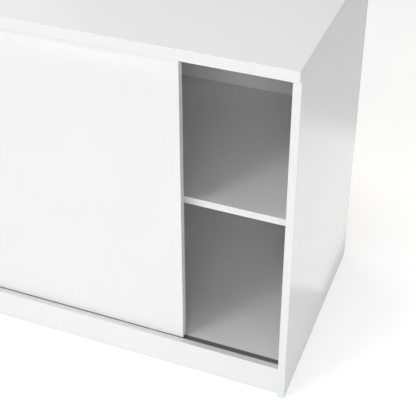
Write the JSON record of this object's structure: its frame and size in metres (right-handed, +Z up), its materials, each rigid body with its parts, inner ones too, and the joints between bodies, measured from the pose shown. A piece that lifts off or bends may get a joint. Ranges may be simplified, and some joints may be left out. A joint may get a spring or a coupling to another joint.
{
  "type": "tv stand with doors",
  "caption": "White low cabinet for a television, with a thick overhanging top, by-passing sliding doors on rollers, shelved bays behind them and a set-in plinth.",
  "frame": {"origin": "on the floor, under the middle of the top panel's outline", "axes": "+X to the cabinet's right as seen from the front (its longest side), +Y to the back, front towards -Y, +Z up"},
  "size_m": [1.18, 0.495, 0.753],
  "materials": {
    "white_melamine_board": "satin white melamine on particle board, matching edge band",
    "white_hardboard": "thin hardboard, white lacquer inside, bare brown fibre behind",
    "raw_block_wood": "bare sanded softwood",
    "dowel_wood": "fluted beech",
    "grey_track_plastic": "extruded rigid plastic, matt dark grey",
    "white_track_plastic": "extruded rigid plastic, matt white",
    "white_nylon": "moulded nylon, slightly glossy",
    "clear_bumper": "soft translucent dots",
    "zinc_fitting": "die-cast zinc, dull",
    "bright_zinc_steel": "bright zinc-plated steel",
    "black_foot_plastic": "moulded plastic, matt black"
  },
  "bodies": {
    "cabinet": {"top_panel": "white_melamine_board", "left_side_panel": "white_melamine_board", "right_side_panel": "white_melamine_board", "centre_partition": "white_melamine_board", "bottom_panel": "white_melamine_board", "plinth_front": "white_melamine_board", "plinth_rear": "white_melamine_board", "plinth_blocks": "raw_block_wood", "plinth_block_screws": "bright_zinc_steel", "left_shelf": "white_melamine_board", "right_shelf": "white_melamine_board", "left_shelf_pins": "bright_zinc_steel", "right_shelf_pins": "bright_zinc_steel", "left_back_panel": "white_hardboard", "right_back_panel": "white_hardboard", "back_joining_strip": "white_track_plastic", "back_panel_nails": "bright_zinc_steel", "left_cable_grommet": "white_nylon", "right_cable_grommet": "white_nylon", "dowels": "dowel_wood", "cam_bolts": "bright_zinc_steel", "cam_locks": "zinc_fitting", "partition_screws": "bright_zinc_steel", "top_track": "white_track_plastic", "top_track_screws": "bright_zinc_steel", "bottom_track": "grey_track_plastic", "rear_door_guide": "white_nylon", "partition_glide": "white_nylon", "door_bumpers": "clear_bumper", "middle_foot_leg": "black_foot_plastic", "middle_foot_pad": "black_foot_plastic"},
    "front_door": {"front_door_panel": "white_melamine_board", "front_door_top_glides": "white_nylon", "front_roller_housings": "white_nylon", "front_roller_axles": "bright_zinc_steel"},
    "rear_door": {"rear_door_panel": "white_melamine_board", "rear_door_top_glides": "white_nylon", "rear_roller_housings": "white_nylon", "rear_roller_axles": "bright_zinc_steel"},
    "front_left_roller": {"front_left_wheel": "white_nylon"},
    "front_right_roller": {"front_right_wheel": "white_nylon"},
    "rear_left_roller": {"rear_left_wheel": "white_nylon"},
    "rear_right_roller": {"rear_right_wheel": "white_nylon"}
  },
  "joints": [
    {"name": "front_door_slide", "type": "slide", "parent": "cabinet", "child": "front_door", "axis": [-1, 0, 0], "range_m": [-0.203, 0.3534]},
    {"name": "rear_door_slide", "type": "slide", "parent": "cabinet", "child": "rear_door", "axis": [-1, 0, 0], "range_m": [-0.5564, 0]},
    {"name": "front_left_roller_spin", "type": "hinge", "parent": "front_door", "child": "front_left_roller", "pos_m": [-0.1498, -0.2165, 0.0856], "axis": [0, 1, 0], "continuous": true},
    {"name": "front_right_roller_spin", "type": "hinge", "parent": "front_door", "child": "front_right_roller", "pos_m": [0.3002, -0.2165, 0.0856], "axis": [0, 1, 0], "continuous": true},
    {"name": "rear_left_roller_spin", "type": "hinge", "parent": "rear_door", "child": "rear_left_roller", "pos_m": [-0.5032, -0.1975, 0.0931], "axis": [0, 1, 0], "continuous": true},
    {"name": "rear_right_roller_spin", "type": "hinge", "parent": "rear_door", "child": "rear_right_roller", "pos_m": [-0.0532, -0.1975, 0.0931], "axis": [0, 1, 0], "continuous": true}
  ],
  "couplings": [
    {"joint": "front_left_roller_spin", "follows": "front_door_slide", "rad_per_m": -66.667},
    {"joint": "front_right_roller_spin", "follows": "front_door_slide", "rad_per_m": -66.667},
    {"joint": "rear_left_roller_spin", "follows": "rear_door_slide", "rad_per_m": -66.667},
    {"joint": "rear_right_roller_spin", "follows": "rear_door_slide", "rad_per_m": -66.667}
  ]
}
